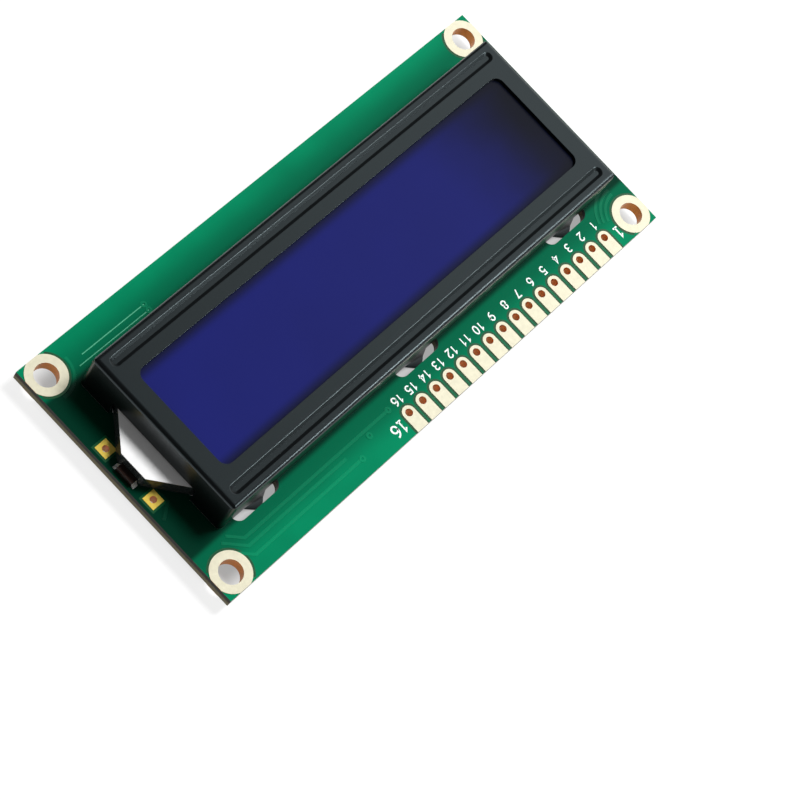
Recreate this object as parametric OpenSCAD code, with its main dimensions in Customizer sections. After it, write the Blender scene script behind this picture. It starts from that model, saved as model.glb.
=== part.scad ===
// Character LCD module: a glass display held by a stamped steel bezel on a circuit board,
// and lit from one end by a small LED that shines into an acrylic light guide.
// Origin: centre of the board's top face. +X points to the LED end, +Y to the header edge,
// +Z out of the display.

/* [Board] */
// Length of the circuit board
board_l = 80; // [78:0.5:100]
// Width of the circuit board
board_w = 36; // [35:0.5:50]
// Thickness of the circuit board
board_t = 1.6; // [1:0.1:2]
// Distance of each mounting hole's centre from the two edges beside it
hole_inset = 2.5; // [2.2:0.1:2.8]
// Bore of the mounting holes, inside their plating
hole_d = 3.1; // [2.5:0.1:3.5]
// Outer diameter of the plated ring around a mounting hole
ring_d = 5.3; // [4.5:0.1:5.6]
// Thickness of the plated copper pads and barrels
plating_t = 0.06; // [0.04:0.01:0.1]

/* [Header] */
// Number of header holes
header_pins = 16; // [8:1:18]
// Distance between two header holes
header_pitch = 2.54; // [2:0.01:2.6]
// Distance of the first header hole from the board's far end
header_start = 8; // [7:0.1:12]
// Distance of the header holes from the board's edge
header_inset = 2.5; // [2:0.1:3]
// Bore of the header holes, inside their plating
header_hole_d = 1; // [0.8:0.05:1.1]
// Width of a header pad
header_pad_w = 1.85; // [1.5:0.05:1.9]

/* [Bezel] */
// Distance of the bezel's ends from the board's ends
bezel_end = 4.9; // [4.6:0.1:6]
// Width of the bezel
bezel_w = 23.6; // [22.6:0.1:24]
// Height of the bezel above the board
bezel_h = 7; // [6.5:0.1:9]
// Thickness of the bezel's steel
bezel_t = 0.5; // [0.4:0.05:0.6]
// Place of the bezel's centre line across the board
bezel_y = -0.75; // [-1.2:0.05:0]
// Outer radius of the folds along the bezel's top
bend_r = 0.65; // [0.6:0.05:0.9]
// Radius of the bezel's four upright corners
corner_r = 0.65; // [0.6:0.05:0.9]
// Distance of the window from the bezel's short sides
window_end = 2.75; // [2.6:0.05:5]
// Distance of the window from the bezel's long sides
window_side = 4.35; // [4:0.05:5.5]
// Radius of the window's corners
window_r = 1.2; // [0.4:0.1:2]
// Width of the stiffening grooves at their mouth
groove_w = 1.4; // [1:0.1:1.8]
// Width of the grooves' flat floor
groove_floor_w = 0.6; // [0.4:0.1:0.9]
// Distance of the grooves' centre lines from the bezel's long sides
groove_inset = 1.85; // [1.7:0.05:2]
// Distance of the grooves' ends from the bezel's short sides
groove_end = 1.2; // [1:0.1:3]

/* [Tabs] */
// Number of tabs on each long side
tabs = 3; // [2:1:4]
// Distance of the outermost tabs' middles from the bezel's ends
tab_end = 6.2; // [6.2:0.1:12]
// Width of a tab
tab_w = 3.6; // [3:0.1:5]
// How far the tabs reach below the board
tab_reach = 1.6; // [1.4:0.1:2.5]
// Turn of a tab inside its slot, in degrees
tab_slot_turn = 11; // [0:1:12]
// Turn of a tab at its tip, in degrees
tab_tip_turn = 46; // [30:1:60]
// Length of the board's slots
slot_l = 7.6; // [6:0.1:8]
// How far the slots reach outwards past the bezel's sides
slot_out = 0.95; // [0.9:0.05:1.5]
// How far the slots reach inwards past the bezel's sides
slot_in = 1.3; // [1.2:0.05:1.3]

/* [Display] */
// Thickness of each glass plate
glass_t = 1.1; // [0.7:0.1:1.1]
// Thickness of each polarising film, which is also the depth of the grooves
polariser_t = 0.3; // [0.2:0.05:0.4]
// How far each film reaches past the window
film_lap = 0.7; // [0.4:0.1:0.8]
// Thickness of the seal between the glass plates
seal_t = 0.05; // [0.02:0.01:0.1]
// Width of the seal
seal_w = 1.2; // [0.8:0.1:1.5]
// Width of the front glass's contact ledges beyond the rear glass
ledge_w = 2.5; // [2.4:0.1:2.8]
// Gap between the front glass and the bezel's walls
glass_gap = 0.3; // [0.2:0.05:0.4]
// Distance of the rubber contact strips' ends from the bezel's end walls
strip_end = 1.6; // [0.8:0.1:4]
// Width of the rubber contact strips
strip_w = 1.6; // [1.2:0.1:1.6]
// Gap between the rear glass and each contact strip
strip_gap = 0.25; // [0.15:0.05:0.3]

/* [Backlight] */
// Thickness of the reflector under the light guide
reflector_t = 0.2; // [0.1:0.05:0.3]
// Thickness of the diffuser over the light guide
diffuser_t = 0.2; // [0.1:0.05:0.3]
// Thickness of the light guide's tail
tail_t = 2.2; // [1.5:0.1:2.4]
// Thickness of the white film over the tail
tail_film_t = 0.1; // [0.05:0.01:0.2]
// How far the tail stands out of the bezel
tail_l = 3.4; // [2:0.1:3.5]
// Width of the tail where it leaves the bezel
tail_root_w = 12; // [10:0.1:13]
// Width of the tail's narrow end
tail_end_w = 4; // [3.8:0.1:6]
// Gap between the tail and the opening in the bezel
tail_gap = 0.3; // [0.2:0.05:0.5]
// Length of the LED across the tail's end
led_l = 2.6; // [2:0.1:2.8]
// Depth of the LED
led_w = 0.85; // [0.6:0.05:0.9]
// Height of the LED
led_h = 0.9; // [0.6:0.05:1.2]
// Size of the two square backlight pads
lamp_pad = 1.85; // [1.2:0.05:1.9]
// Bore of the backlight pads' holes
lamp_hole_d = 0.9; // [0.6:0.05:1]
// Distance between the two backlight pads
lamp_pitch = 8; // [7.8:0.1:12]
// Distance of the backlight pads from the board's end
lamp_inset = 1.6; // [1.2:0.1:1.8]
// Place of the backlight pads' middle across the board
lamp_y = -0.6; // [-1.2:0.1:0.5]

/* [Underside] */
// Diameter of the resin caps over the two dies
cap_d = 13; // [10:0.5:14]
// Height of the resin caps
cap_h = 1.3; // [0.9:0.1:1.3]
// Side of the square dies
die_w = 3.4; // [2:0.1:4]
// Thickness of the dies
die_t = 0.35; // [0.2:0.05:0.5]
// Distance of the controller's cap from the board's LED end
controller_end = 26; // [20:0.5:28]
// Distance of the driver's cap from the board's far end
driver_end = 22; // [18:0.5:26]
// Distance of the single chips from the board's far end
chip_far_end = 10.5; // [9:0.5:11]
// Distance of the single chips from the board's LED end
chip_led_end = 15; // [13:0.5:17]
// Place of the upper single chips across the board
chip_high_y = 4; // [2:0.5:6]
// Place of the lower single chips across the board
chip_low_y = -3; // [-5:0.5:-1]
// Length of the chip resistors and capacitors
chip_l = 2; // [1.6:0.1:2.2]
// Width of the chip resistors and capacitors
chip_w = 1.25; // [0.8:0.05:1.3]
// Thickness of the chip resistors
resistor_t = 0.5; // [0.4:0.05:0.6]
// Thickness of the chip capacitors
capacitor_t = 0.85; // [0.6:0.05:1.2]
// Number of bias resistors in their column
bias_count = 5; // [3:1:5]
// Distance between two bias resistors
bias_pitch = 2.6; // [2:0.1:2.8]
// Place of the bias resistors' column along the board
bias_x = -2; // [-4:0.5:0]

/* [Hidden] */

$fn = 48;
cut = 1;          // how far a cutter passes the faces it opens
sink = 0.2;       // how far one solid runs into another that it is joined to
board_under = -board_t;

// Bezel: its inner faces, its window and grooves, and the planes of its tabs
bezel_l = board_l - 2 * bezel_end;
window_l = bezel_l - 2 * window_end;
window_w = bezel_w - 2 * window_side;
inner_l = bezel_l - 2 * bezel_t;
inner_w = bezel_w - 2 * bezel_t;
inner_top = bezel_h - bezel_t;
groove_y = bezel_w / 2 - groove_inset;
groove_l = bezel_l - 2 * groove_end;
groove_depth = polariser_t;
wall_y = (bezel_w - bezel_t) / 2;
slot_w = slot_in + slot_out;
slot_y = bezel_w / 2 + (slot_out - slot_in) / 2;
tab_pitch = (bezel_l - 2 * tab_end) / (tabs - 1);
tab_xs = [for (i = [0:tabs - 1]) (i - (tabs - 1) / 2) * tab_pitch];

// Display stack, from the bezel's top down to the board
glass_top = inner_top - polariser_t;
glass_under = glass_top - glass_t;
rear_top = glass_under - seal_t;
rear_under = rear_top - glass_t;
stack_under = rear_under - polariser_t;
glass_l = inner_l - 2 * glass_gap;
glass_w = inner_w - 2 * glass_gap;
rear_w = glass_w - 2 * ledge_w;
film_l = window_l + 2 * film_lap;
film_w = window_w + 2 * film_lap;
strip_l = inner_l - 2 * strip_end;
strip_y = rear_w / 2 + strip_gap + strip_w / 2;
port_w = 4;       // width of the cell's filling port

// Backlight, from the board up to the rear polariser
guide_top = stack_under - diffuser_t;
guide_w = rear_w;
tail_top = reflector_t + tail_t;
tail_end_x = bezel_l / 2 + tail_l;
tail_spread = (tail_root_w - tail_end_w) / 2 / tail_l;
tail_start_x = bezel_l / 2 - (guide_w - tail_root_w) / 2 / tail_spread;
opening_w = tail_root_w + 2 * (tail_spread * bezel_t + tail_gap);
opening_h = tail_top + tail_film_t + tail_gap;
ramp_gap = 0.4;   // between the foot of the ramp and the bezel's end wall
ramp_foot_x = inner_l / 2 - ramp_gap;
ramp_l = 2.2;
led_gap = 0.05;   // between the tail and the LED
led_x = tail_end_x + led_gap + led_w / 2;
led_window = 0.6; // share of the LED's face that its window takes
led_recess = 0.15;

// Solder fillets: how far each reaches out, and how high it climbs as a share of its part
led_solder_l = 0.45;
solder_l = 0.35;
solder_climb = 0.8;
solder_w = 0.9;   // width of a fillet as a share of its part's
solder_waist = 0.4; // how full the fillet is: 0.5 would make its face flat

// Underside: the places of the caps and of the chips outside the bias column, as [x, y]
controller_at = [board_l / 2 - controller_end, bezel_y];
driver_at = [driver_end - board_l / 2, bezel_y];
oscillator_at = [chip_far_end - board_l / 2, chip_low_y];
bias_capacitor_at = [chip_far_end - board_l / 2, chip_high_y];
supply_at = [board_l / 2 - chip_led_end, chip_low_y];
backlight_at = [board_l / 2 - chip_led_end, chip_high_y];
dome_steps = 14;
dome_power = 0.8; // below 1 the dome stands steeper at its rim

// ---- shapes that repeat ----

// Rectangle with true round corners
module round_rect(l, w, r) {
    square([l - 2 * r, w], center = true);
    square([l, w - 2 * r], center = true);
    for (x = [-1, 1], y = [-1, 1])
        translate([x * (l / 2 - r), y * (w / 2 - r)]) circle(r);
}

// Slot outline along X with round ends
module stadium(l, w) {
    square([l - w, w], center = true);
    for (x = [-1, 1]) translate([x * (l - w) / 2, 0]) circle(d = w);
}

// Cross-section of a cover: flat top, round shoulders, open at the foot
module cover_profile(w, h, r) {
    translate([-w / 2, -cut]) square([w, h + cut - r]);
    translate([-w / 2 + r, 0]) square([w - 2 * r, h]);
    for (x = [-1, 1]) translate([x * (w / 2 - r), h - r]) circle(r);
}

// Solid block under a cover with folded shoulders on all four sides
module cover_block(l, w, h, shoulder_r, upright_r) {
    intersection() {
        rotate([90, 0, 0]) linear_extrude(2 * w, center = true) cover_profile(l, h, shoulder_r);
        rotate([90, 0, 90]) linear_extrude(2 * l, center = true) cover_profile(w, h, shoulder_r);
        linear_extrude(2 * h) round_rect(l, w, upright_r);
    }
}

// Channel along X with sloping sides and conical ends, its mouth at z = 0
module channel(l, mouth, floor_w, depth) {
    rotate([90, 0, 90]) linear_extrude(l - mouth, center = true)
        polygon([[-mouth / 2, 0], [-floor_w / 2, -depth], [floor_w / 2, -depth], [mouth / 2, 0]]);
    for (x = [-1, 1]) translate([x * (l - mouth) / 2, 0, -depth])
        cylinder(h = depth, d1 = floor_w, d2 = mouth);
}

// Plated hole: a barrel through the board between two flat pads of the given outline
module plated_hole(bore) {
    difference() {
        union() {
            linear_extrude(plating_t) children();
            translate([0, 0, board_under - plating_t]) linear_extrude(plating_t) children();
            translate([0, 0, board_under - plating_t / 2])
                cylinder(h = board_t + plating_t, d = bore + 2 * plating_t);
        }
        translate([0, 0, board_under - cut]) cylinder(h = board_t + 2 * cut, d = bore);
    }
}

// Solder fillet with a hollow face, on the plane z = 0 and against the plane x = 0
module fillet(l, h, w) {
    rotate([90, 0, 0]) linear_extrude(w, center = true)
        polygon([[0, 0], [l, 0], [solder_waist * l, solder_waist * h], [0, h]]);
}

// Flat plate centred on the bezel's middle line
module plate(l, w, t, z) {
    translate([0, bezel_y, z + t / 2]) cube([l, w, t], center = true);
}

module at_mounting_holes() {
    for (x = [-1, 1], y = [-1, 1])
        translate([x * (board_l / 2 - hole_inset), y * (board_w / 2 - hole_inset), 0]) children();
}

module at_header_holes() {
    for (i = [0:header_pins - 1])
        translate([header_start - board_l / 2 + i * header_pitch, board_w / 2 - header_inset, 0])
            children();
}

module at_backlight_pads() {
    for (y = [-1, 1])
        translate([board_l / 2 - lamp_inset, lamp_y + y * lamp_pitch / 2, 0]) children();
}

// Each tab's place in the plane of its wall, the same turn on both sides
module at_tabs(from_middle) {
    for (side = [0, 180], x = tab_xs)
        translate([0, bezel_y, 0]) rotate(side) translate([x, from_middle, 0]) children();
}

// ---- board ----

module circuit_board() {
    color([0.0, 0.42, 0.28])
    translate([0, 0, board_under]) linear_extrude(board_t) difference() {
        square([board_l, board_w], center = true);
        at_mounting_holes() circle(d = hole_d + 2 * plating_t);
        at_header_holes() circle(d = header_hole_d + 2 * plating_t);
        at_backlight_pads() circle(d = lamp_hole_d + 2 * plating_t);
        at_tabs(slot_y) stadium(slot_l, slot_w);
    }
}

module mounting_rings() {
    color([0.95, 0.9, 0.62])
    intersection() {
        at_mounting_holes() plated_hole(hole_d) circle(d = ring_d);
        cube([board_l, board_w, 4 * board_t], center = true);
    }
}

module header_pads() {
    color([0.95, 0.9, 0.62])
    at_header_holes() plated_hole(header_hole_d) {
        circle(d = header_pad_w);
        translate([-header_pad_w / 2, 0]) square([header_pad_w, header_inset]);
    }
}

module backlight_pads() {
    color([0.9, 0.72, 0.3])
    at_backlight_pads() plated_hole(lamp_hole_d) square(lamp_pad, center = true);
}

// ---- bezel ----

// One tab as a stack of turned sections: it leans slightly inside the slot, where it starts
// square with its wall, and turns hard below the board, which locks it
module twisted_tab() {
    slot_steps = 2;
    tip_steps = 4;
    tip_turn = tab_tip_turn - tab_slot_turn;
    levels = concat(
        [for (i = [0:slot_steps]) [board_under, tab_slot_turn] * i / slot_steps],
        [for (i = [1:tip_steps]) [board_under, tab_slot_turn] + [-tab_reach, tip_turn] * i / tip_steps]
    );
    corners = [[1, 1], [-1, 1], [-1, -1], [1, -1]];
    points = [
        for (level = levels, c = corners)
            let (x = c[0] * tab_w / 2, y = c[1] * bezel_t / 2, turn = level[1])
                [x * cos(turn) + y * sin(turn), y * cos(turn) - x * sin(turn), level[0]]
    ];
    last = 4 * (len(levels) - 1);
    sides = [
        for (k = [0:4:last - 4], j = [0:3])
            let (n = (j + 1) % 4)
                each [[k + j, k + n, k + 4 + n], [k + j, k + 4 + n, k + 4 + j]]
    ];
    polyhedron(points, concat([[3, 2, 1, 0]], sides, [[last, last + 1, last + 2, last + 3]]));
}

module bezel() {
    color([0.18, 0.2, 0.21]) {
        translate([0, bezel_y, 0]) difference() {
            union() {
                difference() {
                    cover_block(bezel_l, bezel_w, bezel_h, bend_r, corner_r);
                    cover_block(inner_l, inner_w, inner_top, bend_r - bezel_t, corner_r - bezel_t);
                }
                for (y = [-1, 1]) translate([0, y * groove_y, bezel_h - bezel_t + sink])
                    channel(groove_l, groove_w, groove_floor_w, groove_depth + sink);
            }
            for (y = [-1, 1]) translate([0, y * groove_y, bezel_h])
                channel(groove_l, groove_w, groove_floor_w, groove_depth);
            linear_extrude(2 * bezel_h) round_rect(window_l, window_w, window_r);
            translate([bezel_l / 2 - bezel_t - cut, -opening_w / 2, -cut])
                cube([bezel_t + 2 * cut, opening_w, opening_h + cut]);
        }
        at_tabs(wall_y) twisted_tab();
    }
}

// ---- display ----

module front_polariser() {
    color([0.1, 0.1, 0.4]) plate(film_l, film_w, polariser_t, glass_top);
}

module front_glass() {
    color([0.7, 0.8, 0.85]) plate(glass_l, glass_w, glass_t, glass_under);
}

module cell_seal() {
    color([0.3, 0.3, 0.3]) difference() {
        plate(glass_l, rear_w, seal_t, rear_top);
        plate(glass_l - 2 * seal_w, rear_w - 2 * seal_w, 3 * seal_t, rear_top - seal_t);
    }
}

// Bead of adhesive that closes the cell's filling port, on the glass's far end
module fill_port_plug() {
    color([0.8, 0.75, 0.5])
    translate([-glass_l / 2, bezel_y, rear_top]) rotate([90, 0, -90])
        linear_extrude(glass_gap / 2) stadium(port_w, glass_t);
}

module rear_glass() {
    color([0.7, 0.8, 0.85]) plate(glass_l, rear_w, glass_t, rear_under);
}

module rear_polariser() {
    color([0.3, 0.32, 0.5]) plate(film_l, film_w, polariser_t, stack_under);
}

module contact_strip(side) {
    color([0.75, 0.55, 0.55])
    translate([0, bezel_y + side * strip_y, glass_under / 2])
        cube([strip_l, strip_w, glass_under], center = true);
}

module contact_strip_header_side() {
    contact_strip(1);
}

module contact_strip_far_side() {
    contact_strip(-1);
}

// ---- backlight ----

// Plan of the guide: a plate that narrows into the tail
module guide_outline() {
    polygon([
        [-glass_l / 2, -guide_w / 2], [tail_start_x, -guide_w / 2], [tail_end_x, -tail_end_w / 2],
        [tail_end_x, tail_end_w / 2], [tail_start_x, guide_w / 2], [-glass_l / 2, guide_w / 2]
    ]);
}

// Side view of the guide: full height under the display, a ramp, then the thinner tail
module guide_profile() {
    polygon([
        [-glass_l / 2, reflector_t], [tail_end_x, reflector_t], [tail_end_x, tail_top],
        [ramp_foot_x, tail_top], [ramp_foot_x - ramp_l, guide_top], [-glass_l / 2, guide_top]
    ]);
}

module light_guide() {
    color([0.9, 0.93, 0.95])
    translate([0, bezel_y, 0]) intersection() {
        linear_extrude(2 * bezel_h) guide_outline();
        rotate([90, 0, 0]) linear_extrude(2 * guide_w, center = true) guide_profile();
    }
}

module diffuser_film() {
    color([0.97, 0.97, 0.97])
    plate(2 * (ramp_foot_x - ramp_l), guide_w, diffuser_t, guide_top);
}

// The reflector stops at the bezel's wall, so that the backlight pads stay clear of it
module reflector_film() {
    color([1, 1, 1])
    translate([0, bezel_y, 0]) linear_extrude(reflector_t) intersection() {
        guide_outline();
        square([inner_l, 2 * guide_w], center = true);
    }
}

module tail_film() {
    color([1, 1, 1])
    translate([0, bezel_y, tail_top]) linear_extrude(tail_film_t) intersection() {
        guide_outline();
        translate([ramp_foot_x, -guide_w]) square([board_l, 2 * guide_w]);
    }
}

module backlight_led() {
    color([0.25, 0.16, 0.12])
    translate([led_x, bezel_y, led_h / 2]) difference() {
        cube([led_w, led_l, led_h], center = true);
        translate([-led_w / 2, 0, 0])
            cube([2 * led_recess, led_l * led_window, led_h * led_window], center = true);
    }
}

module led_joints() {
    color([0.85, 0.85, 0.85])
    for (y = [-1, 1]) translate([led_x, bezel_y + y * led_l / 2, 0]) rotate(y * 90)
        fillet(led_solder_l, solder_climb * led_h, solder_w * led_w);
}

// ---- underside ----

// Low resin dome over a die: a revolved arc that meets the board at a steep rim
module resin_cap(place) {
    dome = [
        for (i = [0:dome_steps])
            let (a = 90 * i / dome_steps) [cap_d / 2 * sin(a), -cap_h * pow(cos(a), dome_power)]
    ];
    color([0.06, 0.06, 0.06])
    translate([place[0], place[1], board_under]) difference() {
        rotate_extrude() polygon(concat([[0, 0]], dome));
        cube([die_w, die_w, 2 * die_t], center = true);
    }
}

module die(place) {
    color([0.45, 0.45, 0.5])
    translate([place[0], place[1], board_under - die_t / 2]) cube([die_w, die_w, die_t], center = true);
}

module controller_cap() {
    resin_cap(controller_at);
}

module driver_cap() {
    resin_cap(driver_at);
}

module controller_die() {
    die(controller_at);
}

module driver_die() {
    die(driver_at);
}

// Places of all the chips: the bias column first, then the single ones, as [x, y, thickness]
function bias_y(i) = bezel_y + (i - (bias_count + 1) / 2) * bias_pitch;
chips = concat(
    [for (i = [1:bias_count]) [bias_x, bias_y(i), resistor_t]],
    [concat(oscillator_at, resistor_t), concat(backlight_at, resistor_t)],
    [concat(supply_at, capacitor_t), concat(bias_capacitor_at, capacitor_t)]
);

module chip(place, body) {
    color(body) translate([place[0], place[1], board_under - place[2] / 2])
        cube([chip_l, chip_w, place[2]], center = true);
}

module bias_resistor(i) {
    chip(chips[i - 1], [0.1, 0.1, 0.1]);
}

module oscillator_resistor() {
    chip(chips[bias_count], [0.1, 0.1, 0.1]);
}

module backlight_resistor() {
    chip(chips[bias_count + 1], [0.1, 0.1, 0.1]);
}

module supply_capacitor() {
    chip(chips[bias_count + 2], [0.6, 0.5, 0.4]);
}

module bias_capacitor() {
    chip(chips[bias_count + 3], [0.6, 0.5, 0.4]);
}

// Solder fillets at both ends of every chip
module chip_joints() {
    color([0.8, 0.8, 0.8])
    for (place = chips, turn = [0, 180])
        translate([place[0], place[1], board_under]) rotate(turn) translate([chip_l / 2, 0, 0])
            mirror([0, 0, 1]) fillet(solder_l, solder_climb * place[2], solder_w * chip_w);
}

circuit_board();
mounting_rings();
header_pads();
backlight_pads();
bezel();
front_polariser();
front_glass();
cell_seal();
fill_port_plug();
rear_glass();
rear_polariser();
contact_strip_header_side();
contact_strip_far_side();
diffuser_film();
light_guide();
reflector_film();
tail_film();
backlight_led();
led_joints();
controller_die();
controller_cap();
driver_die();
driver_cap();
for (i = [1:bias_count]) bias_resistor(i);
oscillator_resistor();
backlight_resistor();
supply_capacitor();
bias_capacitor();
chip_joints();
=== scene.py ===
"""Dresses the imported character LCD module: finishes, board print, copper tracks, studio and camera.

Run by Blender as a script. Lengths are metres in the part's own frame: the origin is the centre
of the board's top face, +X points to the LED end, +Y to the header edge and +Z out of the display.
"""

import math

import bmesh
import bpy
import numpy as np
from bpy.props import FloatProperty, FloatVectorProperty, PointerProperty
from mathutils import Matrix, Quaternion, Vector


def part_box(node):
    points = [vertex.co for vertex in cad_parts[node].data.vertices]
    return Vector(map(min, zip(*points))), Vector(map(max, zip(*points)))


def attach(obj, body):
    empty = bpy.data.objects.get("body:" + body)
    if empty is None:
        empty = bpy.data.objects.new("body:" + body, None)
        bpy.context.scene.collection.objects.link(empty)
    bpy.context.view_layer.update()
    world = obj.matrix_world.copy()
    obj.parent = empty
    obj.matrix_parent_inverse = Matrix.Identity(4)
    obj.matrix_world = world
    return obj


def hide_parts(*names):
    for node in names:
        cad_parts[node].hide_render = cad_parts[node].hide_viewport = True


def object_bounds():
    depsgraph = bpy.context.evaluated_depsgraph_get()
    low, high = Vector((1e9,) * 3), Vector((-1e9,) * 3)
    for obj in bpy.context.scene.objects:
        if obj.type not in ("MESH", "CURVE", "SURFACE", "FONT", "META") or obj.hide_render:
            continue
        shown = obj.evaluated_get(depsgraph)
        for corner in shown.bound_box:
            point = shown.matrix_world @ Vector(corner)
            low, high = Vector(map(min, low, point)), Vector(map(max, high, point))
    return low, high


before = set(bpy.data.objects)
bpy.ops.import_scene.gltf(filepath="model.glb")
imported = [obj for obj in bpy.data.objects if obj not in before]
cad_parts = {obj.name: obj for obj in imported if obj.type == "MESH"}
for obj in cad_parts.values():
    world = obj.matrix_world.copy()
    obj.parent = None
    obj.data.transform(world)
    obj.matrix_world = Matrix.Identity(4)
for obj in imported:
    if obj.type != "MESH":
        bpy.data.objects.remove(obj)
CAD_BOX = [list(corner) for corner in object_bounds()]

bl_info = {
    "name": "Character LCD module",
    "version": (1, 0, 0),
    "blender": (4, 5, 0),
    "location": "View3D > Sidebar > LCD module",
    "description": "Finishes, board print, tracks and studio for a packed character LCD module",
    "category": "Object",
}

MM = 0.001
BODY = "root"

HEADER_PINS = 16
HEADER_INSET = 2.5 * MM  # from the board's header edge to the row of holes
HOLE_INSET = 2.5 * MM  # from the board's edges to a mounting hole's centre
RING_R = 2.65 * MM  # outer radius of the plating round a mounting hole
WALL_Y = 11.8 * MM  # from the bezel's middle line to the outside of a long wall
GROOVE_Y = WALL_Y - 1.85 * MM  # from the bezel's middle line to a groove's own
UPPER_SIDE = -0.5 * MM  # the board's upper side counts from here up
ABOVE_BOARD = -0.01 * MM  # the bezel's part above the board counts from here up
CLEARANCE_H = 0.01 * MM  # height of the dark bands beside the pads
LAMP_DISTANCE = 0.6  # from the origin to each softbox


def corners(node):
    """Lowest and highest corner of a CAD node, as numpy rows in metres."""
    low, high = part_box(node)
    return np.array(low), np.array(high)


BOARD_LOW, BOARD_HIGH = corners("circuit_board")
BEZEL_LOW, BEZEL_HIGH = corners("bezel")
HEADER_LOW, HEADER_HIGH = corners("header_pads")
RING_LOW, RING_HIGH = corners("mounting_rings")
LAMP_LOW, LAMP_HIGH = corners("backlight_pads")
BEZEL_Y = (BEZEL_LOW[1] + BEZEL_HIGH[1]) / 2


# ---- settings ----


def colour(label, text, value):
    """Colour property with components from 0 to 1 as a display shows them."""
    return FloatVectorProperty(name=label, description=text, default=value, subtype="COLOR", min=0, max=1)


def length(label, text, millimetres):
    """Length property whose default is given in millimetres."""
    return FloatProperty(name=label, description=text, default=millimetres * MM, unit="LENGTH", precision=5)


class LCD_PG_board(bpy.types.PropertyGroup):
    """Solder mask, tracks and print of the circuit board"""

    mask: colour("Solder mask", "Mask over bare laminate", (0.0, 0.475, 0.325))
    mask_pale: colour("Mask over copper", "Mask over a track, which is paler", (0.0, 0.51, 0.35))
    # The fine lines' pale colour is a painted highlight along the edges of two tracks
    line: colour("Fine line", "Two fine lines on the far side", (0.28, 0.64, 0.5))
    clearance: colour("Clearance", "Mask beside a pad", (0.0, 0.27, 0.14))
    laminate: colour("Laminate", "Cut edges of the board", (0.2, 0.185, 0.14))
    ink: colour("Ink", "Printed numbers", (0.95, 1.0, 0.98))
    # Pale plating on the faces is gold with a painted sheen; the deeper gold in the barrels is gold with
    # painted shade
    gold: colour("Plating", "Flat faces of the plated pads", (0.925, 0.905, 0.80))
    gold_wall: colour("Barrel", "Plating inside the holes", (0.92, 0.6, 0.07))
    lamp_gold: colour("Backlight pad", "Plating of the two square pads", (1.0, 0.87, 0.38))
    track_w: length("Track width", "Width of a signal track", 0.4)
    track_h: length("Track height", "Height of a track above the mask", 0.035)
    ink_w: length("Stroke width", "Width of a printed stroke", 0.2)
    ink_h: length("Ink height", "Height of the ink above the mask", 0.02)
    clearance_w: length("Clearance width", "Width of the dark band beside a pad", 0.3)
    number_h: length("Pin number height", "Height of the numbers beside the header", 1.1)
    end_number_h: length("End number height", "Height of the first and last pin's large numbers", 1.5)


class LCD_PG_display(bpy.types.PropertyGroup):
    """Bezel and display"""

    black: colour("Bezel", "Satin black of the bezel", (0.05, 0.058, 0.062))
    steel: colour("Cut steel", "Bare steel at the bezel's cut edges", (0.86, 0.80, 0.80))
    film: colour("Display", "Front film over the lit field", (0.08, 0.10, 0.365))
    # Colour of the painted shade at the film's far end and long sides
    film_dark: colour("Display's dark end", "Front film at the far end", (0.03, 0.04, 0.08))
    lip: length("Groove lip", "Rounding of the grooves' lips", 0.25)


class LCD_PG_stage(bpy.types.PropertyGroup):
    """Studio light"""

    key: FloatProperty(name="Key light", description="Power of the high softbox", default=4.1, unit="POWER")
    side: FloatProperty(name="Side light", description="Power of the low softbox",
                        default=2.5, unit="POWER")
    sky: FloatProperty(name="Surround", description="Strength of the soft surround", default=1.85)


# ---- node material helpers ----


def new_material(name):
    """Empty node material; returns the material and its node tree."""
    material = bpy.data.materials.new(name)
    material.use_nodes = True
    material.node_tree.nodes.clear()
    return material, material.node_tree


def add(tree, kind, **values):
    """Node of that type; values whose names are inputs fill sockets, the others are properties."""
    node = tree.nodes.new(kind)
    for name, value in values.items():
        socket = name.replace("_", " ")
        if socket in node.inputs:
            node.inputs[socket].default_value = value
        else:
            setattr(node, name, value)
    return node


def lit(display_colour):
    """Display colour 0..1 turned into linear light, with full alpha."""
    c = np.asarray(display_colour, float)
    linear = np.where(c <= 0.04045, c / 12.92, ((c + 0.055) / 1.055) ** 2.4)
    return (*linear, 1.0)


def shade(display_colour, factor):
    """Display colour made darker or paler by a factor, and never past 1."""
    return tuple(min(1.0, factor * c) for c in display_colour)


def finish(name, base, roughness, metallic=0.0, **sockets):
    """Principled material with a base colour; sockets are named with _ for a space."""
    material, tree = new_material(name)
    shader = add(tree, "ShaderNodeBsdfPrincipled", Base_Color=lit(base), Roughness=roughness,
                 Metallic=metallic, **sockets)
    output = add(tree, "ShaderNodeOutputMaterial")
    tree.links.new(shader.outputs[0], output.inputs[0])
    return material, tree, shader


def place_of(tree):
    """Object coordinates, from a Texture Coordinate node."""
    return add(tree, "ShaderNodeTexCoord").outputs["Object"]


def apart(tree, vector):
    """X, Y and Z outputs of a vector."""
    split = add(tree, "ShaderNodeSeparateXYZ")
    tree.links.new(vector, split.inputs[0])
    return split.outputs


def sums(tree, operation, first, *others):
    """Math node, or a chain of them for more than two values; each is an output or a number."""
    for other in others or (0.0,):
        node = add(tree, "ShaderNodeMath", operation=operation)
        for socket, value in zip(node.inputs, (first, other)):
            if isinstance(value, bpy.types.NodeSocket):
                tree.links.new(value, socket)
            else:
                socket.default_value = float(value)
        first = node.outputs[0]
    return first


def ramp(tree, value, start, end, low=0.0, high=1.0):
    """From low at start to high at end, smooth between them and flat outside."""
    node = add(tree, "ShaderNodeMapRange", interpolation_type="SMOOTHSTEP",
               From_Min=start, From_Max=end, To_Min=low, To_Max=high)
    tree.links.new(value, node.inputs["Value"])
    return node.outputs[0]


def noise(tree, vector, per_metre, detail=2.0):
    """Noise from 0 to 1 with about that many cells per metre."""
    node = add(tree, "ShaderNodeTexNoise", Scale=per_metre, Detail=detail)
    tree.links.new(vector, node.inputs["Vector"])
    return node.outputs["Fac"]


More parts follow.
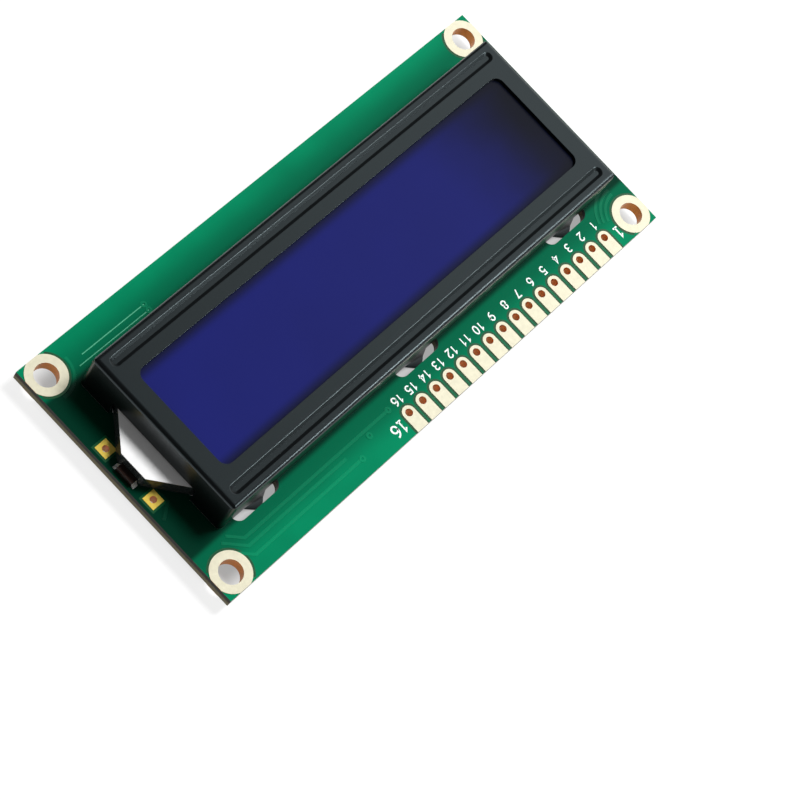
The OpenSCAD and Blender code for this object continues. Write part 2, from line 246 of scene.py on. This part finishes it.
def blend(tree, share, first, second):
    """Colour that goes from first to second; each is a display colour or an output."""
    node = add(tree, "ShaderNodeMix", data_type="RGBA")
    tree.links.new(share, node.inputs[0])
    for socket, value in ((node.inputs[6], first), (node.inputs[7], second)):
        if isinstance(value, bpy.types.NodeSocket):
            tree.links.new(value, socket)
        else:
            socket.default_value = lit(value)
    return node.outputs[2]


def mottled(tree, share, base, low, high):
    """Base colour times low where share is 0, and times high where it is 1."""
    return blend(tree, share, shade(base, low), shade(base, high))


def mixed(tree, share, first, second):
    """Shader that goes from first to second; all three are outputs."""
    node = add(tree, "ShaderNodeMixShader")
    for socket, value in zip(node.inputs, (share, first, second)):
        tree.links.new(value, socket)
    return node.outputs[0]


def bump(tree, shader, height, distance):
    """Bump of that height in metres on a shader."""
    node = add(tree, "ShaderNodeBump", Strength=1.0, Distance=distance)
    tree.links.new(height, node.inputs["Height"])
    tree.links.new(node.outputs[0], shader.inputs["Normal"])


def speckled(name, base, roughness, metallic=0.0, cells=900.0, spread=0.12, grain=0.0, **sockets):
    """Finish whose colour varies a little with a fine noise; grain is the height of a finer bump."""
    material, tree, shader = finish(name, base, roughness, metallic, **sockets)
    cloud = noise(tree, place_of(tree), cells)
    tree.links.new(mottled(tree, cloud, base, 1 - spread, 1 + spread), shader.inputs["Base Color"])
    if grain:
        grains_per_cell = 12
        bump(tree, shader, noise(tree, place_of(tree), cells * grains_per_cell), grain)
    return material


def up_or_down(tree):
    """1 on faces that look up or down, 0 on upright ones."""
    upright_limit = 0.5
    normal = add(tree, "ShaderNodeNewGeometry").outputs["Normal"]
    return sums(tree, "GREATER_THAN", sums(tree, "ABSOLUTE", apart(tree, normal)[2]), upright_limit)


def off_middle(tree, y):
    """Distance of y from the bezel's middle line."""
    return sums(tree, "ABSOLUTE", sums(tree, "SUBTRACT", y, BEZEL_Y))


def deeper_beside_bezel(tree, mask, shaded):
    """Mask colour with painted shade toward the bezel's long walls, on the board's upper side.

    A wide band of painted shade goes from mask to shaded, and a narrow band of painted contact shadow at
    the wall's foot goes to half of shaded.
    """
    # Bands of painted shade: a wide one, and a painted contact shadow at the wall's foot
    wide_band = (WALL_Y + 5.6 * MM, WALL_Y + 1.6 * MM)
    foot_band = (WALL_Y + 0.9 * MM, WALL_Y + 0.1 * MM)
    _, y, z = apart(tree, place_of(tree))
    off_y = off_middle(tree, y)
    on_top = sums(tree, "GREATER_THAN", z, UPPER_SIDE)
    wide = sums(tree, "MULTIPLY", ramp(tree, off_y, *wide_band), on_top)
    close = sums(tree, "MULTIPLY", ramp(tree, off_y, *foot_band), on_top)
    return blend(tree, close, blend(tree, wide, mask, shaded), shade(shaded, 0.5))


def dress(material, *names):
    """Puts a material on CAD nodes, in place of what they came with."""
    for name in names:
        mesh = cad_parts[name].data
        mesh.materials.clear()
        mesh.materials.append(material)


# ---- mesh helpers ----


def shell(name, points, faces, material):
    """New piece on the body from numpy points and rows of corner numbers."""
    mesh = bpy.data.meshes.new(name)
    mesh.from_pydata(points.tolist(), [], faces.tolist())
    mesh.materials.append(material)
    piece = bpy.data.objects.new(name, mesh)
    bpy.context.scene.collection.objects.link(piece)
    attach(piece, BODY)
    return piece


def arc(cx, cy, rx, ry, start, end, count=9):
    """Points on an ellipse about (cx, cy), from one angle in degrees to another."""
    a = np.radians(np.linspace(start, end, count))
    return np.stack([cx + rx * np.cos(a), cy + ry * np.sin(a)], 1)


def along(*parts):
    """One path through points and arcs, without repeated points."""
    path = np.concatenate([np.atleast_2d(np.asarray(part, float)) for part in parts])
    steps = np.linalg.norm(np.diff(path, axis=0), axis=1)
    return path[np.concatenate([[True], steps > 1e-9])]


def ribbon(path, width, height, base, closed=False, slope=0.3):
    """A flat strip carried along a path in the plane z = base.

    Its section is a trapezoid: the foot is the full width and the top is narrower by slope times
    the height on each side. Each section stands across the mean of the two directions beside it
    and is stretched by one over the cosine of half the turn, so that the width stays even.
    A height below 0 hangs the strip under its plane. Returns points and four-cornered faces.
    """
    path = np.asarray(path, float)
    count = len(path)
    if closed:
        ahead = np.roll(path, -1, 0) - path
        ahead /= np.linalg.norm(ahead, axis=1)[:, None]
        behind = np.roll(ahead, 1, 0)
    else:
        steps = np.diff(path, axis=0)
        steps /= np.linalg.norm(steps, axis=1)[:, None]
        ahead = np.concatenate([steps, steps[-1:]])
        behind = np.concatenate([steps[:1], steps])
    mean = ahead + behind
    mean /= np.maximum(np.linalg.norm(mean, axis=1), 1e-9)[:, None]
    stretch = 1 / np.maximum((mean * ahead).sum(1), 0.5)
    across = np.stack([-mean[:, 1], mean[:, 0]], 1) * stretch[:, None]
    inset = slope * abs(height)
    shares = np.array([-width / 2, -width / 2 + inset, width / 2 - inset, width / 2])
    levels = np.array([0, height, height, 0]) + base
    flat = path[:, None, :] + shares[None, :, None] * across[:, None, :]
    points = np.concatenate([flat, np.broadcast_to(levels[None, :, None], (count, 4, 1))], 2)
    points = points.reshape(-1, 3)
    rows = np.arange(count if closed else count - 1)
    following = (rows + 1) % count
    corner = np.arange(4)
    after = (corner + 1) % 4
    faces = np.stack([
        rows[:, None] * 4 + corner, following[:, None] * 4 + corner,
        following[:, None] * 4 + after, rows[:, None] * 4 + after], 2).reshape(-1, 4)
    if not closed:
        last = 4 * (count - 1)
        faces = np.concatenate([faces, [[0, 1, 2, 3], [last + 3, last + 2, last + 1, last]]])
    if height > 0:
        faces = faces[:, ::-1]
    return points, faces


def strips(name, paths, material, slot, **form):
    """One piece made of a ribbon along each path."""
    points, faces, start = [], [], 0
    for path in paths:
        p, f = ribbon(path, **form)
        points.append(p)
        faces.append(f + start)
        start += len(p)
    return shell(name, np.concatenate(points), np.concatenate(faces), material)


def digit_strokes():
    """Each digit's strokes in a box 0.6 wide and 1 high.

    Straight runs are corner points, and round ones are arcs of ellipses.
    """
    ring = arc(0.3, 0.5, 0.27, 0.5, 90, 450, 21)
    six = along(arc(0.45, 0.45, 0.42, 0.55, 90, 180), arc(0.3, 0.3, 0.27, 0.3, 180, 540, 17))
    return {
        "0": [ring],
        "1": [along([0.1, 0.75], [0.33, 1], [0.33, 0])],
        "2": [along(arc(0.3, 0.72, 0.27, 0.28, 170, -40), [0.03, 0], [0.59, 0])],
        "3": [along(arc(0.3, 0.76, 0.24, 0.24, 150, -90), arc(0.3, 0.26, 0.28, 0.26, 90, -150))],
        "4": [along([0.44, 0], [0.44, 1], [0.02, 0.3], [0.6, 0.3])],
        "5": [along([0.54, 1], [0.1, 1], [0.06, 0.52], arc(0.28, 0.32, 0.29, 0.32, 120, -150))],
        "6": [six],
        "7": [along([0.02, 1], [0.58, 1], [0.2, 0])],
        "8": [arc(0.3, 0.76, 0.23, 0.24, -90, 270, 17), arc(0.3, 0.26, 0.28, 0.26, 90, 450, 17)],
        "9": [np.array([0.6, 1]) - six],
    }


def number(text, x, y, height, serif=False):
    """Stroke paths of a number whose middle is at x and whose foot is at y."""
    strokes = digit_strokes()
    if serif:
        strokes["1"] = strokes["1"] + [along([0.1, 0], [0.56, 0])]
    advance = 0.78
    gap = 0.18
    left = -(len(text) * advance - gap) / 2
    return [
        path * height + np.array([x + (left + i * advance) * height, y])
        for i, figure in enumerate(text)
        for path in strokes[figure]
    ]


# ---- pieces ----


def header_pad_width():
    """Width of a header pad: twice what its round end reaches past the row of holes."""
    return 2 * (HEADER_HIGH[1] - HEADER_LOW[1] - HEADER_INSET)


def header_places():
    """x of each header hole and the row's y, from the pads' box."""
    pad_w = header_pad_width()
    first = HEADER_LOW[0] + pad_w / 2
    last = HEADER_HIGH[0] - pad_w / 2
    return np.linspace(first, last, HEADER_PINS), BOARD_HIGH[1] - HEADER_INSET


def ring_places():
    """Centres of the mounting holes, from the rings' box, which ends at the board's edges."""
    xs = (RING_LOW[0] + HOLE_INSET, RING_HIGH[0] - HOLE_INSET)
    ys = (RING_LOW[1] + HOLE_INSET, RING_HIGH[1] - HOLE_INSET)
    return [(x, y) for x in xs for y in ys]


class LCD_OT_board(bpy.types.Operator):
    """Solder mask on the board, with bare laminate at its cut edges, and plating on its pads"""

    bl_idname = "lcd.board"
    bl_label = "Board and plating"

    def execute(self, context):
        own = context.scene.lcd_board
        self.mask(own)
        gold = self.plating("gold plating", own.gold, own.gold_wall, worn=0.9,
                            roughness=0.35, metallic=0.25)
        dress(gold, "mounting_rings", "header_pads")
        lamp_gold = self.plating("backlight pad plating", own.lamp_gold, own.gold_wall, worn=0.85,
                                 roughness=0.4, metallic=0.2, dent=0.05 * MM)
        dress(lamp_gold, "backlight_pads")
        return {"FINISHED"}

    @staticmethod
    def mask(own):
        """Mottled mask on the flat faces with painted shade beside the bezel, and laminate on the edges,
        paler in their lower half.
        """
        material, tree, shader = finish("solder mask", own.mask, 0.3, Specular_IOR_Level=0.06)
        where = place_of(tree)
        cloudy = mottled(tree, noise(tree, where, 130.0), own.mask, 0.88, 1.12)
        # Painted shade on the mask toward the bezel's long walls
        mask = deeper_beside_bezel(tree, cloudy, shade(own.mask, 0.76))
        fibres = mottled(tree, noise(tree, where, 2500.0), own.laminate, 1.0, 0.6)
        pale_start, pale_end = -0.5 * MM, -1.1 * MM
        low_half = ramp(tree, apart(tree, where)[2], pale_start, pale_end)
        edges = blend(tree, low_half, fibres, shade(own.laminate, 3.2))
        tree.links.new(blend(tree, up_or_down(tree), edges, mask), shader.inputs["Base Color"])
        bump(tree, shader, noise(tree, where, 1400.0), 0.004 * MM)
        dress(material, "circuit_board")

    @staticmethod
    def plating(name, face, wall, worn, roughness, metallic, dent=0.0):
        """Plating with a painted sheen on its flat faces and painted shade inside the holes; dent is the
        depth of its uneven face.
        """
        material, tree, shader = finish(name, face, roughness, metallic)
        where = place_of(tree)
        flat = mottled(tree, noise(tree, where, 1500.0), face, 1.0, worn)
        # Lit and shaded versions of the plating: a painted sheen on the flat faces, painted shade on the
        # hole walls
        tree.links.new(blend(tree, up_or_down(tree), wall, flat), shader.inputs["Base Color"])
        if dent:
            bump(tree, shader, noise(tree, where, 1600.0), dent)
        return material


class LCD_OT_clearances(bpy.types.Operator):
    """Dark bands of mask beside the header pads, the rings and the backlight pads"""

    bl_idname = "lcd.clearances"
    bl_label = "Pad clearances"

    def execute(self, context):
        own = context.scene.lcd_board
        material = speckled("clearance", own.clearance, 0.3, cells=1500.0)
        band = {"width": own.clearance_w, "height": CLEARANCE_H, "base": 0.0}
        half = own.clearance_w / 2
        xs, row_y = header_places()
        r = header_pad_width() / 2 + half
        edge = BOARD_HIGH[1]
        paths = [along([x - r, edge], arc(x, row_y, r, r, 180, 360, 15), [x + r, edge]) for x in xs]
        strips("header_clearances", paths, material, "board", **band)
        reach = RING_R + half
        half_turn = 97  # degrees to each side of the way to the board's middle; open at its corner
        rings = []
        for x, y in ring_places():
            toward = math.degrees(math.atan2(-math.copysign(1, y), -math.copysign(1, x)))
            rings.append(arc(x, y, reach, reach, toward - half_turn, toward + half_turn, 49))
        strips("ring_clearances", rings, material, "board", **band)
        side = (LAMP_HIGH[0] - LAMP_LOW[0]) / 2 + half
        cx = (LAMP_HIGH[0] + LAMP_LOW[0]) / 2
        squares = []
        for y in (LAMP_LOW[1] + side - half, LAMP_HIGH[1] - side + half):
            squares.append(np.array([[cx - side, y - side], [cx + side, y - side],
                                     [cx + side, y + side], [cx - side, y + side]]))
        strips("backlight_clearances", squares, material, "board", closed=True, **band)
        return {"FINISHED"}


class LCD_OT_tracks(bpy.types.Operator):
    """Copper tracks that stand up a little through the mask, and their vias"""

    bl_idname = "lcd.tracks"
    bl_label = "Tracks"

    def execute(self, context):
        own = context.scene.lcd_board
        material, tree, shader = finish("mask over copper", own.mask_pale, 0.28, Specular_IOR_Level=0.12)
        # Pale strips over two tracks on the far side: a painted highlight along their edges
        painted_glint = speckled("tinned line", own.line, 0.3, cells=400.0)
        # Painted shade on the mask over copper toward the bezel's long walls
        shaded = shade(own.mask_pale, 0.8)
        tree.links.new(deeper_beside_bezel(tree, own.mask_pale, shaded), shader.inputs["Base Color"])

        # Corner points of the straight tracks, in millimetres
        straight = (
            [[34.9, 12.0], [33.3, 13.6], [8.0, 13.6]],
            [[35.9, 12.3], [33.6, 14.6], [16.6, 14.6]],
            [[36.4, 13.2], [33.7, 15.9], [15.2, 15.9]],
            [[39.2, 6.0], [37.2, 4.6], [37.2, 3.4]],
        )
        lanes = [np.array(points) * MM for points in straight]

        # Three tracks bend round one mounting hole, and a fourth round the hole diagonally across
        hole_x = BOARD_HIGH[0] - HOLE_INSET
        hole_y = BOARD_HIGH[1] - HOLE_INSET
        for reach in (3.5 * MM, 4.2 * MM, 4.9 * MM):
            lanes.append(arc(-hole_x, hole_y, reach, reach, -90, -20, 25))
        reach = 3.3 * MM
        lanes.append(arc(hole_x, -hole_y, reach, reach, 85, 185, 25))
        strips("copper_tracks", lanes, material, "board", width=own.track_w, height=own.track_h, base=0.0)

        fine_width = 0.13 * MM
        fine = [
            np.array([[32.4, -14.8], [22.1, -14.8]]) * MM,
            np.array([[33.6, -13.9], [22.1, -13.9]]) * MM,
        ]
        strips("fine_tracks", fine, painted_glint, "board", width=fine_width, height=own.track_h, base=0.0)

        # A via is a closed band whose middle runs at its radius
        via_r = 0.3 * MM
        via_band = 0.3 * MM
        via_height = 1.3 * own.track_h
        vias = np.array([[15.0, 15.9], [8.0, 13.6], [22.1, -14.8], [22.1, -13.9], [12.2, 14.4]]) * MM
        circles = [arc(x, y, via_r, via_r, 0, 345, 24) for x, y in vias]
        strips("copper_vias", circles, material, "board",
               width=via_band, height=via_height, base=0.0, closed=True)
        return {"FINISHED"}


class LCD_OT_print(bpy.types.Operator):
    """Printed pin numbers beside the header, as stroke figures"""

    bl_idname = "lcd.print"
    bl_label = "Print"

    def execute(self, context):
        own = context.scene.lcd_board
        ink = speckled("white ink", own.ink, 0.55, cells=3000.0, spread=0.05)
        xs, row_y = header_places()
        foot = row_y - 2.6 * MM
        paths = []
        for i, x in enumerate(xs):
            paths += number(str(i + 1), x, foot, own.number_h)
        over_tracks = own.track_h + own.ink_h
        strips("pin_numbers", paths, ink, "board", width=own.ink_w, height=over_tracks, base=0.0)

        large_foot = row_y - 0.05 * MM
        first_x = xs[0] - 2.2 * MM
        last_x = xs[-1] + 2.5 * MM
        paths = number("1", first_x, large_foot, own.end_number_h, serif=True)
        paths += number(str(len(xs)), last_x, large_foot, own.end_number_h, serif=True)
        strips("end_numbers", paths, ink, "board", width=1.15 * own.ink_w, height=own.ink_h, base=0.0)
        return {"FINISHED"}


class LCD_OT_bezel(bpy.types.Operator):
    """Satin black bezel with rounded groove lips and bare cut edges"""

    bl_idname = "lcd.bezel"
    bl_label = "Bezel"

    def execute(self, context):
        own = context.scene.lcd_display
        mesh = self.weighted(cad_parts["bezel"].data.copy())
        mesh.name = "bezel_shell"
        mesh.materials.clear()
        mesh.materials.append(self.steel(own))
        piece = bpy.data.objects.new("bezel_shell", mesh)
        bpy.context.scene.collection.objects.link(piece)
        round_off = piece.modifiers.new("lips", "BEVEL")
        round_off.limit_method = "WEIGHT"
        round_off.width = own.lip
        round_off.segments = 4
        round_off.use_clamp_overlap = True
        even = piece.modifiers.new("even", "WEIGHTED_NORMAL")
        even.keep_sharp = True
        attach(piece, BODY)
        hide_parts("bezel")
        return {"FINISHED"}

    @staticmethod
    def weighted(mesh):
        """Merges the mesh and gives the top's outward edges their share of the lips' rounding.

        The grooves' lips get all of it and the other edges of the top less than half. All other
        edges past the sharp angle stay sharp.
        """
        merge = 0.002 * MM
        flat = math.radians(0.5)
        sharp = math.radians(25)
        top = BEZEL_HIGH[2]
        depth = 0.6 * MM
        lip_depth = 0.05 * MM
        groove_reach = 1.3 * MM
        rim_share = 0.45
        upward = 0.3
        form = bmesh.new()
        form.from_mesh(mesh)
        bmesh.ops.remove_doubles(form, verts=form.verts, dist=merge)
        bmesh.ops.dissolve_limit(form, angle_limit=flat, verts=form.verts, edges=form.edges)
        weights = form.edges.layers.float.new("bevel_weight_edge")
        for face in form.faces:
            face.smooth = True
        for edge in form.edges:
            if not edge.is_manifold or edge.calc_face_angle(0.0) < sharp:
                continue
            if not edge.is_convex:
                edge.smooth = False
                continue
            middle = (edge.verts[0].co + edge.verts[1].co) / 2
            outer = max(face.normal.z for face in edge.link_faces) > upward
            if outer and middle.z > top - depth:
                in_groove = abs(abs(middle.y - BEZEL_Y) - GROOVE_Y) < groove_reach
                lip = in_groove and middle.z > top - lip_depth
                edge[weights] = 1.0 if lip else rim_share
            else:
                edge.smooth = False
        form.to_mesh(mesh)
        form.free()
        return mesh

    @staticmethod
    def steel(own):
        """Satin black, with bare steel at the tabs' tips and at the foot above the board.

        The foot's bare band is higher at the four corners.
        """
        material, tree, shader = finish("satin black", own.black, 0.3, Specular_IOR_Level=0.5,
                                       Specular_Tint=(0.74, 0.94, 1.0, 1.0))
        where = place_of(tree)
        x, y, z = apart(tree, where)
        black = mottled(tree, noise(tree, where, 160.0), own.black, 0.9, 1.1)
        above = sums(tree, "GREATER_THAN", z, ABOVE_BOARD)
        tips = ramp(tree, z, BEZEL_LOW[2] + 0.16 * MM, BEZEL_LOW[2] + 0.08 * MM)
        foot = sums(tree, "MULTIPLY", ramp(tree, z, 0.14 * MM, 0.06 * MM), above)
        end_x = BEZEL_HIGH[0]
        side_y = BEZEL_HIGH[1] - BEZEL_Y
        out_x = ramp(tree, sums(tree, "ABSOLUTE", x), end_x - 1.1 * MM, end_x - 0.7 * MM)
        out_y = ramp(tree, off_middle(tree, y), side_y - 0.5 * MM, side_y - 0.2 * MM)
        low = ramp(tree, z, 0.5 * MM, 0.35 * MM)
        corner = sums(tree, "MULTIPLY", out_x, out_y, low, above)
        bare = sums(tree, "MAXIMUM", tips, foot, corner)
        tree.links.new(blend(tree, bare, black, own.steel), shader.inputs["Base Color"])
        tree.links.new(bare, shader.inputs["Metallic"])
        bump(tree, shader, noise(tree, where, 6000.0), 0.001 * MM)
        return material


class LCD_OT_display(bpy.types.Operator):
    """Blue front film with painted shade toward the far end and along the long sides, and the cell's glass,
    seals and rear film
    """

    bl_idname = "lcd.display"
    bl_label = "Display cell"

    def execute(self, context):
        own = context.scene.lcd_display
        material, tree, shader = finish("front film", own.film, 0.3, Specular_IOR_Level=0.12)
        where = place_of(tree)
        x, y, _ = apart(tree, where)
        low, high = corners("front_polariser")
        lap = 0.7 * MM
        left = low[0] + lap
        side = high[1] - lap - BEZEL_Y
        wander = 12 * MM
        fade_start, fade_end = left + 16 * MM, left - 1 * MM
        side_band = 1.6 * MM
        side_shade_share = 0.8
        cloud = noise(tree, where, 55.0, 3.0)
        blue = mottled(tree, cloud, own.film, 0.9, 1.08)
        shifted = sums(tree, "ADD", x, sums(tree, "MULTIPLY", sums(tree, "SUBTRACT", cloud, 0.5), wander))
        # Painted shade toward the far end, with a wandering edge
        far_end_shade = ramp(tree, shifted, fade_start, fade_end)
        field = blend(tree, far_end_shade, blue, own.film_dark)
        # Painted shade along the long sides, beside the window's edges
        beside = ramp(tree, off_middle(tree, y), side - side_band, side, high=side_shade_share)
        tree.links.new(blend(tree, beside, field, own.film_dark), shader.inputs["Base Color"])
        dress(material, "front_polariser")
        glass = finish("glass", (0.86, 0.92, 0.9), 0.03, Transmission_Weight=0.9, IOR=1.5)[0]
        dress(glass, "front_glass", "rear_glass")
        dress(speckled("seal resin", (0.2, 0.2, 0.2), 0.5), "cell_seal")
        dress(speckled("plug adhesive", (0.82, 0.78, 0.55), 0.25, Transmission_Weight=0.3),
              "fill_port_plug")
        dress(speckled("rear film", (0.3, 0.32, 0.5), 0.35), "rear_polariser")
        dress(speckled("pink rubber", (0.78, 0.56, 0.56), 0.6),
              "contact_strip_header_side", "contact_strip_far_side")
        return {"FINISHED"}


class LCD_OT_backlight(bpy.types.Operator):
    """Light guide, its white films, the LED and its solder"""

    bl_idname = "lcd.backlight"
    bl_label = "Backlight"

    def execute(self, context):
        white = speckled("white film", (0.95, 0.95, 0.95), 0.4, cells=500.0, spread=0.03)
        dress(white, "diffuser_film", "reflector_film", "tail_film")
        acrylic = speckled("acrylic", (0.24, 0.26, 0.26), 0.2, cells=300.0, spread=0.05,
                           Transmission_Weight=0.3, IOR=1.49)
        dress(acrylic, "light_guide")
        dress(speckled("LED body", (0.14, 0.08, 0.06), 0.35), "backlight_led")
        dress(speckled("solder", (0.97, 0.97, 0.96), 0.5, 0.6, cells=400.0, grain=0.04 * MM), "led_joints")
        return {"FINISHED"}


class LCD_OT_underside(bpy.types.Operator):
    """Resin caps, dies and chips below the board, and the rings printed round the caps"""

    bl_idname = "lcd.underside"
    bl_label = "Underside"

    def execute(self, context):
        own = context.scene.lcd_board
        dress(speckled("black resin", (0.05, 0.05, 0.055), 0.22, cells=200.0, spread=0.3, Coat_Weight=0.3),
              "controller_cap", "driver_cap")
        dress(speckled("silicon", (0.4, 0.4, 0.46), 0.2, 0.4), "controller_die", "driver_die")
        chips = [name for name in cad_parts
                 if name.endswith("_resistor") or name.startswith("bias_resistor")]
        dress(speckled("resistor body", (0.08, 0.08, 0.09), 0.4), *chips)
        dress(speckled("capacitor body", (0.62, 0.5, 0.38), 0.5), "supply_capacitor", "bias_capacitor")
        dress(speckled("chip solder", (0.85, 0.85, 0.86), 0.25, 0.9, cells=1500.0), "chip_joints")
        ink = speckled("underside ink", own.ink, 0.55, cells=3000.0, spread=0.05)
        under = BOARD_LOW[2]
        gap = 0.5 * MM
        rings = []
        for name in ("controller_cap", "driver_cap"):
            low, high = corners(name)
            x, y, _ = (low + high) / 2
            reach = (high[0] - low[0]) / 2 + gap
            rings.append(arc(x, y, reach, reach, 0, 357, 120))
        strips("cap_rings", rings, ink, "board",
               width=own.ink_w, height=-own.ink_h, base=under, closed=True)
        return {"FINISHED"}


class LCD_OT_stage(bpy.types.Operator):
    """Floor, soft surround, two softboxes and the camera"""

    bl_idname = "lcd.stage"
    bl_label = "Stage"

    def execute(self, context):
        own = context.scene.lcd_stage
        scene = bpy.context.scene
        scene.view_settings.view_transform = "Standard"
        self.camera(scene)
        self.floor(scene)
        self.surround(scene, own.sky)
        high = self.softbox(scene, "high", toward=(-0.37, 0.1, 0.93), size=0.16, power=own.key)
        high.visible_glossy = False
        glint = self.softbox(scene, "header side", toward=(-0.44, 0.6, 0.67), size=0.17, power=own.side)
        glint.visible_diffuse = False
        return {"FINISHED"}

    @staticmethod
    def camera(scene):
        """Camera high above the LED end, turned about its own axis so that the module lies diagonally."""
        camera = bpy.data.cameras.new("camera")
        camera.sensor_width = 36
        camera.lens = 127.65
        camera.clip_start = 0.01
        camera.clip_end = 10
        roll = math.radians(41.27)
        eye = Vector((0.1740, 0.0317, 0.2945))
        aim = Vector((0.0058, 0.01365, 0))
        holder = bpy.data.objects.new("camera", camera)
        scene.collection.objects.link(holder)
        holder.location = eye
        holder.rotation_mode = "QUATERNION"
        turn = (aim - eye).to_track_quat("-Z", "Y")
        holder.rotation_quaternion = turn @ Quaternion((0, 0, 1), roll)
        scene.camera = holder

    @staticmethod
    def floor(scene):
        """Pale floor that shows as white where nothing shades it, and not at all from below.

        Its glow goes down under the board, from the edges inward, as a painted shadow where little light
        would reach.
        """
        level = CAD_BOX[0][2] - 0.02 * MM
        half = 0.17
        grey = 0.21
        glow_in_open = 0.82
        glow_lost_to_painted_shadow = 0.45
        inward = 3 * MM
        square = [(-half, -half, level), (half, -half, level), (half, half, level), (-half, half, level)]
        mesh = bpy.data.meshes.new("floor")
        mesh.from_pydata(square, [], [(0, 1, 2, 3)])
        floor = bpy.data.objects.new("floor", mesh)
        scene.collection.objects.link(floor)
        material, tree = new_material("floor")
        matt = add(tree, "ShaderNodeBsdfDiffuse", Color=(grey, grey, grey, 1))
        glow = add(tree, "ShaderNodeEmission")
        path = add(tree, "ShaderNodeLightPath").outputs
        seen = sums(tree, "MAXIMUM",
                    path["Is Camera Ray"], path["Is Glossy Ray"], path["Is Transmission Ray"])
        x, y, _ = apart(tree, place_of(tree))
        in_x = ramp(tree, sums(tree, "ABSOLUTE", x), BOARD_HIGH[0], BOARD_HIGH[0] - inward)
        in_y = ramp(tree, sums(tree, "ABSOLUTE", y), BOARD_HIGH[1], BOARD_HIGH[1] - inward)
        # Painted shadow under the board's outline
        under = sums(tree, "MULTIPLY", in_x, in_y)
        strength = sums(tree, "SUBTRACT", glow_in_open, sums(tree, "MULTIPLY", under, glow_lost_to_painted_shadow))
        tree.links.new(sums(tree, "MULTIPLY", seen, strength), glow.inputs["Strength"])
        both = add(tree, "ShaderNodeAddShader")
        tree.links.new(matt.outputs[0], both.inputs[0])
        tree.links.new(glow.outputs[0], both.inputs[1])
        from_below = add(tree, "ShaderNodeNewGeometry").outputs["Backfacing"]
        clear = add(tree, "ShaderNodeBsdfTransparent").outputs[0]
        output = add(tree, "ShaderNodeOutputMaterial")
        tree.links.new(mixed(tree, from_below, both.outputs[0], clear), output.inputs[0])
        mesh.materials.append(material)

    @staticmethod
    def surround(scene, strength):
        """Soft surround: bright in one direction above the far end, and nearly dark elsewhere.

        It shows as plain white to the camera and through glass. On matt faces its bright part is
        cut down and an even light is added, so that no side of the module goes black.
        """
        up_share = 0.6
        far_share = 0.8
        bright_from = 0.8
        dark_level = 0.02
        cut_on_matt = 0.72
        even_on_matt = 0.2
        world = bpy.data.worlds.new("surround")
        world.use_nodes = True
        tree = world.node_tree
        tree.nodes.clear()
        toward = apart(tree, add(tree, "ShaderNodeTexCoord").outputs["Generated"])
        height = sums(tree, "SUBTRACT", sums(tree, "MULTIPLY", toward[2], up_share),
                      sums(tree, "MULTIPLY", toward[0], far_share))
        level = ramp(tree, height, bright_from, 1.0, low=dark_level * strength, high=strength)
        path = add(tree, "ShaderNodeLightPath").outputs
        matt = path["Is Diffuse Ray"]
        kept = sums(tree, "SUBTRACT", 1.0, sums(tree, "MULTIPLY", matt, cut_on_matt))
        even = sums(tree, "MULTIPLY", matt, even_on_matt)
        light = add(tree, "ShaderNodeBackground", Color=(1, 1, 1, 1))
        tree.links.new(sums(tree, "ADD", sums(tree, "MULTIPLY", level, kept), even),
                       light.inputs["Strength"])
        white = add(tree, "ShaderNodeBackground", Color=(1, 1, 1, 1), Strength=1.0)
        seen = sums(tree, "MAXIMUM", path["Is Camera Ray"], path["Is Transmission Ray"])
        output = add(tree, "ShaderNodeOutputWorld")
        tree.links.new(mixed(tree, seen, light.outputs[0], white.outputs[0]), output.inputs[0])
        scene.world = world

    @staticmethod
    def softbox(scene, name, toward, size, power):
        """Square lamp in that direction, which faces the origin."""
        lamp = bpy.data.lights.new(name, "AREA")
        lamp.energy = power
        lamp.size = size
        holder = bpy.data.objects.new(name, lamp)
        scene.collection.objects.link(holder)
        holder.location = Vector(toward).normalized() * LAMP_DISTANCE
        holder.rotation_mode = "QUATERNION"
        holder.rotation_quaternion = (-holder.location).to_track_quat("-Z", "Y")
        return holder


PIECES = (LCD_OT_board, LCD_OT_clearances, LCD_OT_tracks, LCD_OT_print, LCD_OT_bezel,
          LCD_OT_display, LCD_OT_backlight, LCD_OT_underside, LCD_OT_stage)
GROUPS = {"lcd_board": LCD_PG_board, "lcd_display": LCD_PG_display, "lcd_stage": LCD_PG_stage}


class LCD_PT_module(bpy.types.Panel):
    """Sidebar panel with the module's settings and its pieces"""

    bl_idname = "LCD_PT_module"
    bl_label = "LCD module"
    bl_space_type = "VIEW_3D"
    bl_region_type = "UI"
    bl_category = "LCD module"

    def draw(self, context):
        for group, kind in GROUPS.items():
            box = self.layout.box()
            for name in kind.__annotations__:
                box.prop(getattr(context.scene, group), name)
        for piece in PIECES:
            self.layout.operator(piece.bl_idname)


def register():
    """Registers the settings, pieces and panel, and puts the settings on the scene."""
    for kind in (*GROUPS.values(), *PIECES, LCD_PT_module):
        bpy.utils.register_class(kind)
    for name, kind in GROUPS.items():
        setattr(bpy.types.Scene, name, PointerProperty(type=kind))


def unregister():
    """Takes back what register did."""
    for name in GROUPS:
        delattr(bpy.types.Scene, name)
    for kind in reversed((*GROUPS.values(), *PIECES, LCD_PT_module)):
        bpy.utils.unregister_class(kind)


def main():
    register()
    for piece in PIECES:
        name = piece.bl_idname.removeprefix("lcd.")
        getattr(bpy.ops.lcd, name)()


if __name__ == "__main__":
    main()
